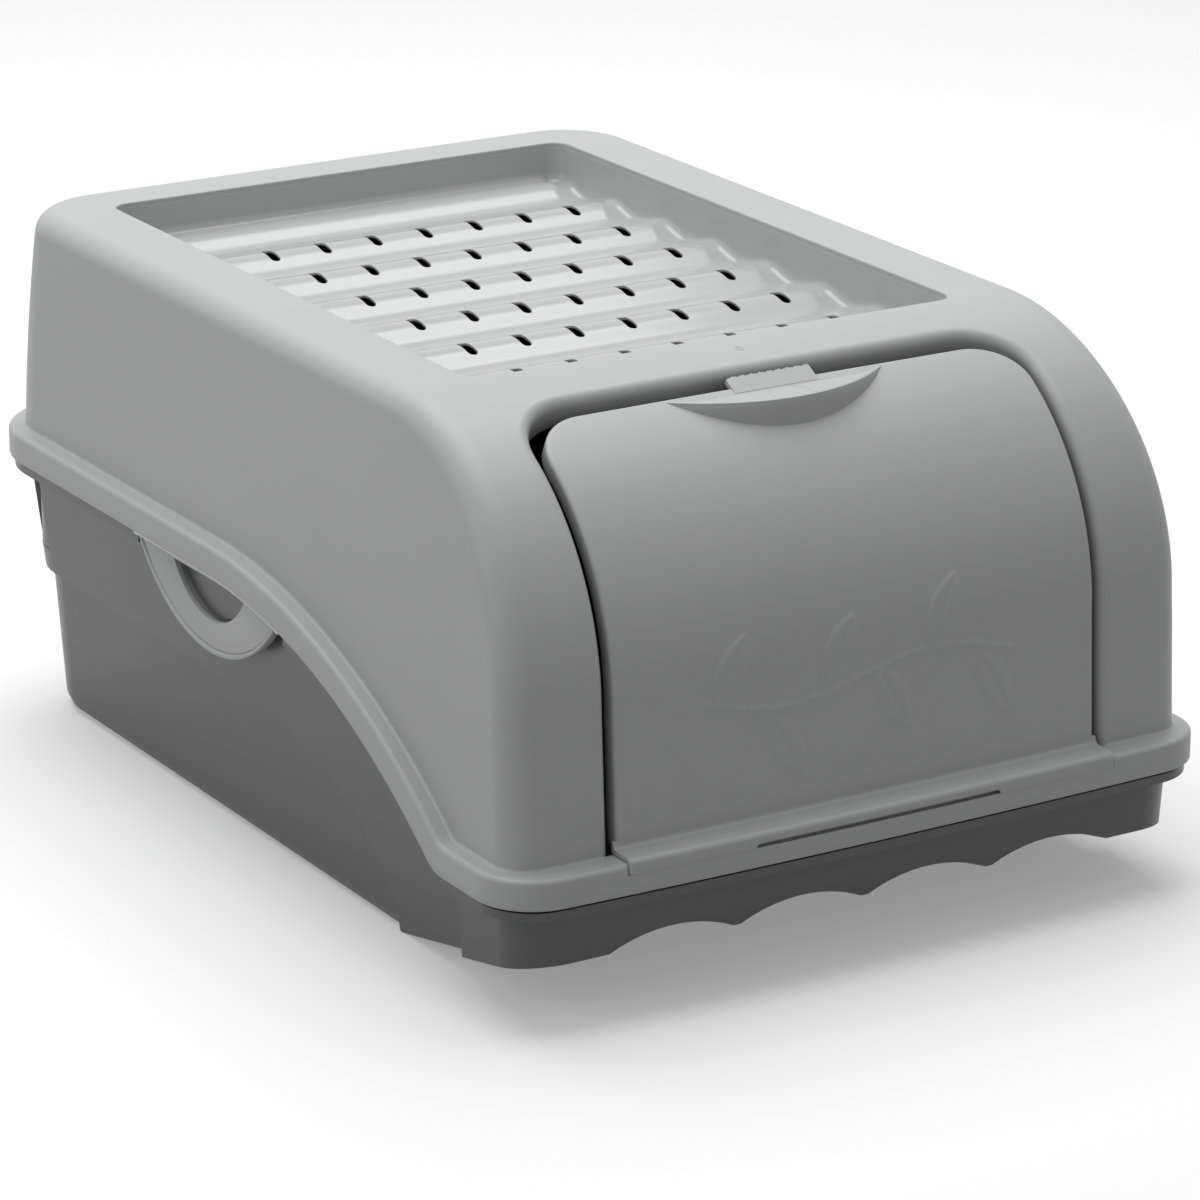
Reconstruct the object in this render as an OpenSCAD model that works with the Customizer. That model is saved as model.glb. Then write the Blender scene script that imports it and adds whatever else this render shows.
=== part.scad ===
// Storage bin with a lift-off hood, a drop-down front flap and two side latches.
// Millimetres, +Z up, front towards -Y, origin at the middle of the footprint.

/* [Bin] */
// Width over the rim
bin_w = 290; // [280:1:300]
// Length of the rim from its front corners to its back
rim_l = 412.4; // [402:0.2:422]
// Height to the flat top
bin_h = 197.5; // [194:0.5:202]
// How far the front edge bows out between the corners
front_bow = 2.3; // [1:0.1:3]

/* [Rim] */
// Front corner radius of the rim
rim_r = 22; // [18:1:26]
// Back corner radius of the rim
rim_rb = 41; // [36:1:46]
// Height of the skirt's lower edge along the back part
rim_back_z = 103.5; // [100:0.5:107]
// Height of the skirt's lower edge along the front part
rim_front_z = 44.5; // [42:0.5:47]
// Height of the skirt
rim_h = 11; // [9.5:0.1:12.5]
// Thickness of the skirt
skirt_t = 2.6; // [2.2:0.1:3]
// Thickness of the shelf between the skirt and the hood's walls
shelf_t = 2.2; // [1.8:0.1:2.6]
// Width of the shelf along the sides
shelf_side = 6.6; // [5.6:0.1:7.6]
// Width of the shelf at the front
shelf_front = 9.9; // [9:0.1:11]
// Width of the shelf at the back
shelf_back = 4.8; // [4:0.1:5.6]
// Radius of the sweep from the back height to the front height
sweep_r = 265; // [250:1:280]
// Where the sweep starts, along the bin
sweep_y = 13.3; // [9:0.1:18]
// Radius of the turn at the sweep's lower end
sweep_toe = 16; // [14:0.5:20]

/* [Hood] */
// Wall thickness of the hood
hood_t = 2.2; // [1.8:0.1:2.6]
// Draft of the hood's walls per unit of height
draft = 0.004; // [0.002:0.001:0.008]
// Draft of the hood's back wall per unit of height
back_draft = 0.026; // [0.015:0.001:0.04]
// Upright front corner radius of the hood
hood_r = 12; // [10:0.5:14]
// Upright back corner radius of the hood
hood_rb = 35; // [30:1:40]
// Radius of the edge around the flat top
top_r = 8; // [7:0.5:10]
// How far the side walls lean in between the shelf and the top edge
side_lean = 7.3; // [5.5:0.1:9]
// Height where the side walls start to lean in
lean_z = 92; // [84:1:100]
// Radius of the sweep from the front face to the flat top
brow_r = 91.5; // [86:0.5:96]
// How far the front face leans back below its sweep
front_lean = 2.4; // [1.5:0.1:3.5]

/* [Vent tray] */
// Width of the recess in the flat top
vent_w = 199.6; // [190:0.2:204]
// Length of the recess
vent_l = 276.4; // [268:0.2:280]
// Distance of the recess from the back of the rim
vent_back = 33.7; // [32:0.1:36]
// Corner radius of the recess
vent_r = 7; // [5:0.5:10]
// Depth from the flat top to the crests of the corrugation
crest_depth = 14.5; // [13:0.1:16]
// Height of the corrugation
wave_h = 4.7; // [3.5:0.1:5.5]
// Distance between crests
wave_pitch = 37.6; // [37:0.1:38]
// Thickness of the tray
tray_t = 2; // [1.6:0.1:2.4]
// Width of the tray's flange under the flat top
tray_flange = 7; // [5:0.5:9]
// Gap between the tray and the flat top above it
tray_gap = 0.3; // [0.2:0.05:0.5]
// Distance of the first crest from the back of the recess
crest_back = 6.8; // [5:0.1:12]
// Width of the vent holes
hole_w = 4.2; // [3.4:0.1:5]
// Length of the vent holes
hole_l = 11.8; // [9:0.1:13]
// Distance of the vent holes' middles in front of their crest
hole_front = 2; // [0:0.1:4]
// Distance between the holes of one crest
hole_pitch = 22.15; // [20:0.05:24]

/* [Front flap] */
// Width of the flap
flap_w = 196; // [188:1:200]
// Thickness of the flap
flap_t = 2.2; // [1.8:0.1:2.6]
// How deep the flap's face lies behind the hood's face
flap_sink = 0.6; // [0.4:0.1:1.2]
// Gap between the flap and the hood at the sides
flap_gap = 3; // [2.5:0.1:4]
// Corner radius of the flap's top
flap_r = 20; // [15:1:25]
// Distance of the flap's top edge behind the hood's front face
flap_top_in = 59.5; // [56:0.5:62]
// Distance of the opening's top edge from the flap's top edge
flap_top_gap = 8.2; // [7.5:0.1:9]
// Depth of the side returns
flap_return = 6; // [4:0.5:8]
// Width of the lip that wraps over the rim
lip_w = 198.2; // [190:0.2:202]
// Drop of the lip below the shelf
lip_drop = 3.6; // [3:0.1:4.4]
// How far the lip stands proud of the rim
lip_proud = 0.8; // [0.6:0.1:1.2]
// Thickness of the lip in front of the rim
lip_t = 2; // [1.6:0.1:2.2]
// Thickness of the lip over the shelf
lip_top_t = 1.5; // [1.2:0.1:2]
// Width of the relief slit under the lip
slit_w = 100; // [80:1:120]
// Height of the relief slit
slit_h = 1.5; // [1:0.1:2]
// Width of the grip between its tips
grip_w = 90.4; // [80:0.2:100]
// How far the grip stands forward of its tips
grip_out = 18.3; // [16:0.1:21]
// Depth of the grip's ledge below the flat top
grip_depth = 7.6; // [7:0.1:9]
// Width of the snap tongue
tongue_w = 34; // [28:1:40]
// Length of the snap tongue over the gap
tongue_l = 5; // [4:0.1:5.5]

/* [Tub] */
// Wall thickness of the tub
tub_t = 2.4; // [2:0.1:2.8]
// Inset of the band's top from the rim
band_in = 7.2; // [6.8:0.1:7.8]
// Width of the band at the ground
band_foot_w = 254; // [248:1:258]
// Width of the lower tub at the step
low_top_w = 262; // [259:0.5:264]
// Width of the lower tub at the ground
low_foot_w = 255; // [251:1:258]
// Height of the step along the back part
step_z = 58; // [55:0.5:61]
// Length of the quarter ellipse that brings the step to the ground
step_run = 111; // [104:1:118]
// Radius along the bottom edge
foot_r = 6; // [4.5:0.5:7]
// Front corner radius of the tub
tub_r = 18; // [15:1:20]
// Back corner radius of the tub
tub_rb = 33.8; // [29:0.2:38]
// Height of the underside at the front
kick_z = 22; // [19:0.5:25]
// Length of the sloping part of the underside
kick_l = 100; // [92:1:108]
// Gap between the skirt and the flange
flange_gap = 1.3; // [1:0.1:1.6]
// Thickness of the flange
flange_t = 3.2; // [2.6:0.1:3.6]
// Inset of the flange from the rim
flange_in = 2; // [1.6:0.1:2.4]
// Gap between the tub's upper edge and the hood's shelf
seat_gap = 0.3; // [0.3:0.05:0.4]
// Inset of the tub's upper wall from the rim
upper_in = 5.8; // [5.4:0.1:6.2]
// Width of one groove of the underside
groove_w = 43; // [38:1:46]
// Depth of the grooves of the underside
groove_h = 4; // [3:0.1:4.6]
// Distance between the grooves
groove_pitch = 52; // [50:0.5:54]
// Width of the flute behind the front corner
flute_w = 9; // [7:0.5:11]
// Angle that the flute of the back corner spans
back_flute_a = 33; // [28:1:38]
// Height of the back flute's lower edge
back_flute_z = 67; // [64:0.5:70]
// Half width between the floors of the front flutes
flute_x = 129; // [128.6:0.1:129.6]
// Depth of the back flute from the band's upper edge
back_flute_d = 4.2; // [3.4:0.1:4.6]
// Half width of the front corner block
block_hw = 136.6; // [136:0.1:137.4]
// Length of the front corner block
block_l = 45; // [42:0.5:48]

/* [Latches] */
// Length of a latch along the rim
latch_l = 108; // [102:1:114]
// Radius of the latch's outer curve
latch_r = 67.3; // [65:0.1:70]
// Drop of the latch below the back rim height
latch_drop = 30.6; // [29:0.1:33]
// Position of the latch's middle along the bin
latch_y = 12.3; // [8:0.1:16]
// Thickness of a latch
latch_t = 2.2; // [1.8:0.1:2.6]
// Inset of the latch's face from the rim
latch_in = 2.1; // [1.8:0.1:2.4]
// Gap between the skirt and a latch at the hinge line
latch_gap = 0.4; // [0.3:0.05:0.6]
// Width of the bead along the latch's edge
bead_w = 2.2; // [1.8:0.1:2.8]
// Height of the bead above the latch's face
bead_h = 0.7; // [0.5:0.1:1]
// Radius of the latch's hole
eye_r = 32.8; // [31:0.1:34]
// Width of latch below the hole
eye_up = 12.5; // [11.5:0.1:13.5]
// Width of the hinge strip above the hole
hinge_w = 2.2; // [1.8:0.1:2.8]
// Gap between the lug and the edge of the hole
lug_gap = 0.8; // [0.6:0.1:1.2]
// Inset of the lug's face from the rim
lug_in = 5.4; // [5:0.1:5.8]

/* [Hidden] */
$fn = 96;
eps = 0.01;
big = 600;

// Ends of the rim along Y, with the whole length centred on the origin.
shift = (front_bow + lip_proud) / 2;
rim_yb = rim_l / 2 + shift;
rim_yf = -rim_l / 2 + shift;
half_w = bin_w / 2;

// The bowed front edge is an arc tangent to the corner arcs.
corner_x = half_w - rim_r;
bow_r = (corner_x * corner_x / front_bow + front_bow) / 2 + rim_r;
bow_cy = rim_yf - front_bow + bow_r;
corner_yf = bow_cy - sqrt((bow_r - rim_r) * (bow_r - rim_r) - corner_x * corner_x);
corner_xb = half_w - rim_rb;
corner_yb = rim_yb - rim_rb;

// The sweep of the rim seen from the side.
sweep_cz = rim_back_z - sweep_r;
toe_z = rim_front_z + sweep_toe;
toe_run = sqrt(pow(sweep_r + sweep_toe, 2) - pow(toe_z - sweep_cz, 2));
toe_y = sweep_y - toe_run;

// Hood.
hood_hw = half_w - shelf_side;
hood_yb = rim_yb - shelf_back;
hood_yf = rim_yf - front_bow + shelf_front + 1;
brow_cz = bin_h - brow_r;
brow_cy = hood_yf + front_lean + brow_r;
lean_k = side_lean / pow(bin_h - top_r - lean_z, 2);
low_z = 24;

// Tilted frame of the flap's top edge: v runs up the face and w out of it.
flap_top_y = hood_yf + flap_top_in;
flap_ang = asin((flap_top_y - brow_cy) / (brow_r - flap_sink)) - 6;
flap_top_z = brow_cz + sqrt(pow(brow_r - flap_sink, 2) - pow(flap_top_y - brow_cy, 2));
shelf_z = rim_front_z + rim_h;

// Vent tray.
vent_yb = rim_yb - vent_back;
vent_yf = vent_yb - vent_l;
vent_cy = (vent_yb + vent_yf) / 2;
crest_z = bin_h - crest_depth;
crest_y = vent_yb - crest_back;
tray_top = bin_h - hood_t - tray_gap;

// Tub.
tub_yb = rim_yb - band_in;
tub_yf = rim_yf - front_bow + band_in;
kick_y = tub_yf + kick_l;
block_y = tub_yf + block_l;
step_y0 = sweep_y;
groove_r = (groove_w * groove_w / 4 + groove_h * groove_h) / (2 * groove_h);
kick_a = atan(kick_z / kick_l);

// Latches.
latch_cz = rim_back_z - latch_drop + latch_r;
eye_cz = rim_back_z - latch_drop + eye_up + eye_r;
latch_x = half_w - latch_in;

shell_grey = [0.72, 0.73, 0.74];
tub_grey = [0.27, 0.28, 0.29];

// How far the hood's walls lean in at height z.
function lean(z) = lean_k * pow(max(z - lean_z, 0), 2) + draft * (z - lean_z);

// Height of the corrugation at y.
function wave(y) = crest_z - wave_h / 2 + wave_h / 2 * cos(360 * (y - crest_y) / wave_pitch);

module side(w) {
    // Extrudes a side view, drawn with y and z as its axes, across the bin.
    translate([-w / 2, 0, 0])
        rotate([90, 0, 90])
            linear_extrude(w)
                children();
}

module box2(x0, x1, y0, y1) {
    translate([x0, y0])
        square([x1 - x0, y1 - y0]);
}

module rrect(hx, y0, y1, rf, rb) {
    // Rectangle with round corners, |x| < hx, with their own radii at the front and back.
    box2(-hx, hx, y0 + rf, y1 - rb);
    box2(-hx + rf, hx - rf, y0, y0 + 2 * rf);
    box2(-hx + rb, hx - rb, y1 - 2 * rb, y1);
    for (sx = [-1, 1]) {
        translate([sx * (hx - rf), y0 + rf])
            circle(rf);
        translate([sx * (hx - rb), y1 - rb])
            circle(rb);
    }
}

module rim_plan(d) {
    // Outline of the rim from above, moved inwards by d.
    box2(-half_w + d, half_w - d, corner_yf, corner_yb);
    box2(-corner_xb, corner_xb, corner_yf, rim_yb - d);
    for (sx = [-1, 1]) {
        translate([sx * corner_x, corner_yf])
            circle(rim_r - d);
        translate([sx * corner_xb, corner_yb])
            circle(rim_rb - d);
    }
    intersection() {
        translate([0, bow_cy])
            circle(bow_r - d, $fn = 720);
        polygon([[-corner_x, corner_yf], [-corner_x * 1.02, bow_cy - (bow_cy - corner_yf) * 1.02],
            [corner_x * 1.02, bow_cy - (bow_cy - corner_yf) * 1.02], [corner_x, corner_yf]]);
    }
}

module under(d) {
    // Side view of all that lies below the skirt's lower edge moved up by d.
    box2(sweep_y - eps, big / 2, -big / 2, rim_back_z + d);
    box2(-big / 2, sweep_y, -big / 2, rim_front_z + d);
    intersection() {
        translate([sweep_y, sweep_cz])
            circle(sweep_r + d, $fn = 360);
        box2(-big / 2, sweep_y, -big / 2, big / 2);
    }
    difference() {
        polygon([[toe_y, rim_front_z + d], [toe_y, rim_front_z - 9], [toe_y + 20, rim_front_z - 9],
            [sweep_y - toe_run * (sweep_r + d) / (sweep_r + sweep_toe),
            sweep_cz + (toe_z - sweep_cz) * (sweep_r + d) / (sweep_r + sweep_toe)]]);
        translate([toe_y, toe_z])
            circle(sweep_toe - d);
    }
}

module strip(d0, d1) {
    // Band across the whole bin between two heights over the skirt's lower edge.
    side(big)
        difference() {
            under(d1);
            under(d0);
        }
}

module ball(r) {
    sphere(r = r / cos(180 / 32), $fn = 32);
}

module dome(d) {
    // The hood's convex outside, moved inwards by d.
    hull() {
        // levels of the back part, then its rounded top edge
        for (z = [low_z, lean_z, 122, 150, 172])
            translate([0, 0, z])
                linear_extrude(eps)
                    level(z, d);
        for (a = [0:18:90])
            translate([0, 0, bin_h - top_r + (top_r - d) * sin(a) - eps])
                linear_extrude(eps)
                    level(bin_h - top_r, d + (top_r - d) * (1 - cos(a)));
        for (sx = [-1, 1]) {
            // front face, then its sweep up to the flat top
            for (p = [[low_z, (brow_cz - low_z) * front_lean / (brow_cz - shelf_z)], [brow_cz, 0]])
                translate([sx * (hood_hw - lean(p[0]) - hood_r), hood_yf + front_lean - p[1] + hood_r, p[0]])
                    ball(hood_r - d);
            for (a = [9:9:90])
                let (r = hood_r + (top_r - hood_r) * a / 90, z = brow_cz + (brow_r - r) * sin(a))
                    translate([sx * (hood_hw - lean(z) - r), brow_cy - (brow_r - r) * cos(a), z])
                        ball(r - d);
        }
    }
}

module level(z, inset) {
    // Horizontal slice of the hood's back part at height z, moved inwards.
    y1 = hood_yb - back_draft * (z - lean_z) - inset;
    hx = hood_hw - lean(z) - inset;
    r = hood_rb - lean(z) / 2 - inset;
    box2(-hx, hx, brow_cy + 20, y1 - r);
    box2(-hx + r, hx - r, brow_cy + 20, y1);
    for (sx = [-1, 1])
        translate([sx * (hx - r), y1 - r])
            circle(r, $fn = 48);
}

module tilt() {
    // Frame at the flap's top edge: local y runs up the face, local z out of it.
    translate([0, flap_top_y, flap_top_z])
        rotate([-flap_ang, 0, 0])
            children();
}

module hatch(hw, top, r) {
    // Everything below an upper edge at local height top, |x| < hw, with round top corners.
    tilt()
        translate([0, 0, -big / 2])
            linear_extrude(big) {
                box2(-hw, hw, -big / 2, top - r);
                box2(-hw + r, hw - r, -big / 2, top);
                for (sx = [-1, 1])
                    translate([sx * (hw - r), top - r])
                        circle(r);
            }
}

module profile(d) {
    // Side view of the hood's front, moved inwards by d, open to the back.
    translate([brow_cy, brow_cz])
        circle(brow_r - d, $fn = 180);
    polygon([[brow_cy, brow_cz], [brow_cy - brow_r + d, brow_cz],
        [brow_cy - brow_r + d - front_lean * (brow_cz - low_z) / (brow_cz - shelf_z), low_z], [brow_cy, low_z]]);
    box2(brow_cy, big / 2, low_z, bin_h - d);
}

module vent_plan(d) {
    rrect(vent_w / 2 + d, vent_yf - d, vent_yb + d, vent_r + d, vent_r + d);
}

module hood() color(shell_grey) {
    difference() {
        union() {
            difference() {
                dome(0);
                dome(hood_t);
                // opening over the vent tray
                translate([0, 0, bin_h - 20])
                    linear_extrude(40)
                        vent_plan(0);
                hatch(flap_w / 2 + flap_gap, flap_top_gap, flap_r + flap_gap);
                side(big)
                    under(rim_h - shelf_t);
            }
            // shelf
            intersection() {
                linear_extrude(bin_h)
                    difference() {
                        rim_plan(0);
                        rrect(hood_hw - hood_t, hood_yf + hood_t, hood_yb - hood_t, hood_r - hood_t, hood_rb - hood_t);
                    }
                strip(rim_h - shelf_t, rim_h);
            }
            // skirt
            intersection() {
                linear_extrude(bin_h)
                    difference() {
                        rim_plan(0);
                        rim_plan(skirt_t);
                    }
                strip(0, rim_h - eps);
            }
        }
        // rebate for the flap's lip
        translate([0, 0, shelf_z - lip_drop - seat_gap])
            linear_extrude(lip_drop + 5)
                difference() {
                    box2(-lip_w / 2 - 0.5, lip_w / 2 + 0.5, -big / 2, rim_yf + rim_r);
                    rim_plan(lip_t - lip_proud + seat_gap);
                }
    }
}

module vent_tray() color(shell_grey) {
    y0 = vent_yf - tray_t;
    y1 = vent_yb + tray_t;
    ys = [for (i = [0:120]) y0 + (y1 - y0) * i / 120];
    // flange under the flat top
    translate([0, 0, tray_top - tray_t])
        linear_extrude(tray_t)
            difference() {
                intersection() {
                    vent_plan(tray_flange);
                    box2(-big / 2, big / 2, vent_yf - tray_t, big / 2);
                }
                vent_plan(0);
            }
    difference() {
        union() {
            // wall
            translate([0, 0, crest_z - wave_h - tray_t])
                linear_extrude(tray_top - crest_z + wave_h + tray_t)
                    difference() {
                        vent_plan(tray_t);
                        vent_plan(0);
                    }
            // corrugated floor
            intersection() {
                side(vent_w + 2 * tray_t)
                    polygon(concat([for (y = ys) [y, wave(y)]],
                        [for (i = [120:-1:0]) [ys[i], wave(ys[i]) - tray_t]]));
                translate([0, 0, crest_z - 40])
                    linear_extrude(80)
                        vent_plan(tray_t / 2);
            }
        }
        // vent holes just in front of the crests
        for (row = [1:6])
            for (i = [-3.5:1:3.5])
                translate([i * hole_pitch, crest_y - row * wave_pitch - hole_front, crest_z - 12])
                    linear_extrude(24)
                        for (sy = [-1, 1]) {
                            translate([0, sy * (hole_l - hole_w) / 2])
                                circle(d = hole_w, $fn = 32);
                            square([hole_w, hole_l - hole_w], center = true);
                        }
    }
}

module front_flap() color(shell_grey) {
    hw = flap_w / 2;
    difference() {
        intersection() {
            union() {
                // face
                side(flap_w)
                    difference() {
                        profile(flap_sink);
                        profile(flap_sink + flap_t);
                    }
                // side returns
                for (sx = [-1, 1])
                    translate([sx * (hw - flap_t / 2), 0, 0])
                        side(flap_t)
                            difference() {
                                profile(flap_sink);
                                profile(flap_sink + flap_return);
                            }
            }
            hatch(hw, 0, flap_r);
        }
        translate([0, 0, shelf_z + seat_gap - big])
            cube([big, big, 2 * big], center = true);
    }
    // lip over the shelf and the rim's edge
    difference() {
        translate([0, 0, shelf_z - lip_drop])
            linear_extrude(lip_drop + seat_gap + lip_top_t)
                intersection() {
                    rim_plan(-lip_proud);
                    box2(-lip_w / 2, lip_w / 2, -big / 2, hood_yf + flap_sink + flap_t);
                }
        translate([0, 0, shelf_z - lip_drop - 5])
            linear_extrude(lip_drop + seat_gap + 5)
                rim_plan(lip_t - lip_proud);
        // relief slit
        translate([-slit_w / 2, -big / 2, shelf_z - lip_drop - 5])
            cube([slit_w, big / 2, slit_h + 5]);
    }
    // grip
    difference() {
        translate([0, 0, flap_top_z - 45])
            linear_extrude(bin_h - grip_depth - flap_top_z + 45)
                intersection() {
                    translate([0, flap_top_y - 1 - grip_out + grip_r()])
                        circle(grip_r());
                    box2(-hw, hw, -big / 2, flap_top_y - 1);
                }
        side(flap_w)
            profile(flap_sink + flap_t);
    }
    // snap tongue
    tilt()
        translate([-tongue_w / 2, -4, 0.8 - flap_t])
            cube([tongue_w, 4 + tongue_l, flap_t]);
}

function grip_r() = (grip_w * grip_w / 4 + grip_out * grip_out) / (2 * grip_out);

module tub_slab(hw, front, back, z, r) {
    // Thin rounded slab used as one level of a drafted wall, inset at the front and back.
    translate([0, 0, z])
        linear_extrude(eps)
            rrect(hw, tub_yf + front, tub_yb - back, r, r + tub_rb - tub_r, $fn = 48);
}

module keel(d) {
    // Side view of all that lies above the underside moved up by d.
    polygon([[kick_y, d], [big / 2, d], [big / 2, big / 2], [-big / 2, big / 2],
        [-big / 2, d + kick_z * (big / 2 + kick_y) / kick_l]]);
}

module grooves(d) {
    // Grooves along the underside, their radius grown by d.
    for (i = [-1.5:1:1.5])
        translate([i * groove_pitch, kick_y, groove_h - groove_r]) {
            rotate([-90, 0, 0])
                cylinder(h = big / 2, r = groove_r + d, $fn = 180);
            rotate([90 - kick_a, 0, 0])
                translate([0, 0, -6])
                    cylinder(h = big / 2, r = groove_r + d, $fn = 180);
        }
}

module above_step() {
    // Side view of all that lies above the step.
    polygon(concat([[big / 2, big / 2], [-big / 2, big / 2], [-big / 2, -1], [step_y0 - step_run, -1]],
        [for (a = [0:3:90]) [step_y0 - step_run * cos(a), step_z * sin(a)]], [[big / 2, step_z]]));
}

module tub_outside() {
    // lower tub with its rounded bottom edge
    hull() {
        tub_slab(low_top_w / 2, 4, 4.2, step_z + 4, tub_r);
        tub_slab(low_foot_w / 2, 5, 7.5, foot_r, tub_r - 3);
        tub_slab(low_foot_w / 2 - foot_r * 0.3, 6, 7.5 + foot_r * 0.3, foot_r * 0.3, tub_r - 4);
        tub_slab(low_foot_w / 2 - foot_r, 8, 7.5 + foot_r, 0, tub_r - 6);
    }
    // band above the step
    intersection() {
        hull() {
            tub_slab(half_w - band_in, 0, 0, rim_back_z - flange_gap - eps, tub_r);
            tub_slab(band_foot_w / 2, 3, 5, 0, tub_r);
        }
        side(big)
            above_step();
    }
    // front corner block
    intersection() {
        hull() {
            tub_slab(block_hw, 0, 0, rim_front_z + 8, tub_r);
            tub_slab(block_hw - 2.5, 2.5, 0, 0, tub_r);
        }
        translate([-big / 2, -big / 2, 0])
            cube([big, big / 2 + block_y, rim_front_z + 6]);
    }
}

module tub_inside() {
    hull() {
        tub_slab(low_foot_w / 2 - tub_t - 0.8, 5.5, 10, tub_t, tub_r - 6);
        tub_slab(low_top_w / 2 - tub_t - 0.6, 3.5, 7.2, step_z + 2, tub_r - 3);
    }
    hull() {
        tub_slab(low_top_w / 2 - tub_t - 0.6, 3.5, 7.2, step_z + 2, tub_r - 3);
        tub_slab(half_w - band_in - tub_t, 2.8, 2.8, rim_back_z, tub_r - 3);
        tub_slab(half_w - band_in - tub_t + 1.2, 2, 2, rim_back_z + 20, tub_r - 3);
    }
    // hollow of the front corner block
    intersection() {
        hull() {
            tub_slab(block_hw - tub_t, tub_t, 0, rim_front_z + 20, tub_r - tub_t);
            tub_slab(block_hw - 2.5 - tub_t, 2.5 + tub_t, 0, 0, tub_r - tub_t);
        }
        translate([-big / 2, -big / 2, 0])
            cube([big, big / 2 + block_y - tub_t, rim_front_z + 16]);
    }
}

module base_tub() color(tub_grey) {
    difference() {
        union() {
            intersection() {
                tub_outside();
                side(big)
                    under(-flange_gap);
            }
            // flange
            intersection() {
                linear_extrude(bin_h)
                    rim_plan(flange_in);
                strip(-flange_gap - flange_t, -flange_gap);
            }
            // upper wall that carries the hood
            intersection() {
                linear_extrude(bin_h)
                    rim_plan(upper_in);
                strip(-flange_gap - flange_t, rim_h - shelf_t - seat_gap);
            }
        }
        // inside, down to a floor that follows the underside
        difference() {
            intersection() {
                tub_inside();
                side(big)
                    keel(tub_t);
            }
            grooves(tub_t);
        }
        // underside
        difference() {
            translate([-big / 2, -big / 2, -big])
                cube([big, big, big + kick_z * 2]);
            side(2 * big)
                keel(0);
        }
        grooves(0);
        for (sx = [-1, 1]) {
            // flutes behind the front corner and on the back corner
            translate([sx * (flute_x + 10), block_y + flute_w / 2, 0])
                cube([20, flute_w, 2 * (rim_front_z - flange_gap - flange_t)], center = true);
            translate([sx * (half_w - band_in - tub_rb), tub_yb - tub_rb, back_flute_z])
                linear_extrude(rim_back_z - flange_gap - flange_t - 1 - back_flute_z)
                    difference() {
                        polygon([[0, 0], [sx * 60, 0], [sx * 60, 60 * tan(back_flute_a)]]);
                        circle(tub_rb - back_flute_d);
                    }
            // clearance for the latch
            translate([sx * (half_w - upper_in + 0.2 + 10), latch_y, rim_back_z - 20])
                cube([20, latch_l + 5, 44], center = true);
        }
    }
    // lugs in the latches' holes
    intersection() {
        side(2 * (half_w - lug_in))
            intersection() {
                translate([latch_y, eye_cz])
                    circle(eye_r - lug_gap);
                under(-latch_gap - hinge_w - lug_gap);
            }
        for (sx = [-1, 1])
            translate([sx * (half_w - band_in - 3.3 + 5), 0, rim_back_z])
                cube([10, big, 60], center = true);
    }
}

module latch() {
    // Left latch: a loop that hangs from the skirt's lower edge.
    x0 = -latch_x;
    difference() {
        union() {
            translate([x0 + latch_t / 2, 0, 0])
                side(latch_t)
                    latch_face(0);
            // bead along the free edge
            translate([x0 + (latch_t - bead_h) / 2, 0, 0])
                side(latch_t + bead_h)
                    difference() {
                        latch_face(0);
                        translate([latch_y, latch_cz])
                            circle(latch_r - bead_w, $fn = 180);
                    }
        }
        side(big)
            intersection() {
                translate([latch_y, eye_cz])
                    circle(eye_r);
                under(-latch_gap - hinge_w);
            }
    }
}

module latch_face(d) {
    intersection() {
        translate([latch_y, latch_cz])
            circle(latch_r - d, $fn = 180);
        under(-latch_gap - d);
        box2(latch_y - latch_l / 2, latch_y + latch_l / 2, 0, big / 2);
    }
}

module latch_left() color(shell_grey) latch();

module latch_right() color(shell_grey) mirror([1, 0, 0]) latch();

base_tub();
hood();
vent_tray();
front_flap();
latch_left();
latch_right();
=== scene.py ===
"""Potato bin: a dark tub under a grey hood with a corrugated vent insert, a front flap and side latches."""

import math

import bmesh
import bpy
import numpy as np
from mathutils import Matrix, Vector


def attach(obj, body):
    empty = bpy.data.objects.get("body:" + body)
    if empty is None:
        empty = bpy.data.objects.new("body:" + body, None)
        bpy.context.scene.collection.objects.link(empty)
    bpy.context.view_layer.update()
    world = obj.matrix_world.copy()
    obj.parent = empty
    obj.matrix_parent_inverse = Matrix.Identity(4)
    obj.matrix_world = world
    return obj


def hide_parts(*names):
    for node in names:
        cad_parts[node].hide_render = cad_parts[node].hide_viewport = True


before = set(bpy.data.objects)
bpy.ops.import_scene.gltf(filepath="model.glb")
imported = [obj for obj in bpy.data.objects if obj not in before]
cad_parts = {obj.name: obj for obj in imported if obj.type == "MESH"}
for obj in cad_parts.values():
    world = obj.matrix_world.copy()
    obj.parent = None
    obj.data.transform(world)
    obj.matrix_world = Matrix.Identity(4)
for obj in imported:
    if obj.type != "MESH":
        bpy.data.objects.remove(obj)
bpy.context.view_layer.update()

# ---------------------------------------------------------------- camera and studio
# The camera stands where the photograph was taken from. The floor and the world are pale, and a wide
# lamp overhead does most of the lighting, so upright faces turn darker than the flat top.
AZIMUTH, ELEVATION, ROLL = (math.radians(a) for a in (-31.108, 18.719, -0.053))
CAMERA_AT = (-0.931267, -1.565576, 0.688469)
LENS_MM, SENSOR_MM = 155.173, 36
NEAREST, FARTHEST = 0.05, 60
WHITE = (1, 1, 1, 1)
WORLD_LIGHT = 0.33
FLOOR_SIZE = 30
FLOOR_TRUE, FLOOR_SHOWN, FLOOR_LIFT = (0.34, 0.34, 0.34, 1), (0.74, 0.74, 0.74, 1), 0.26

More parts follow.
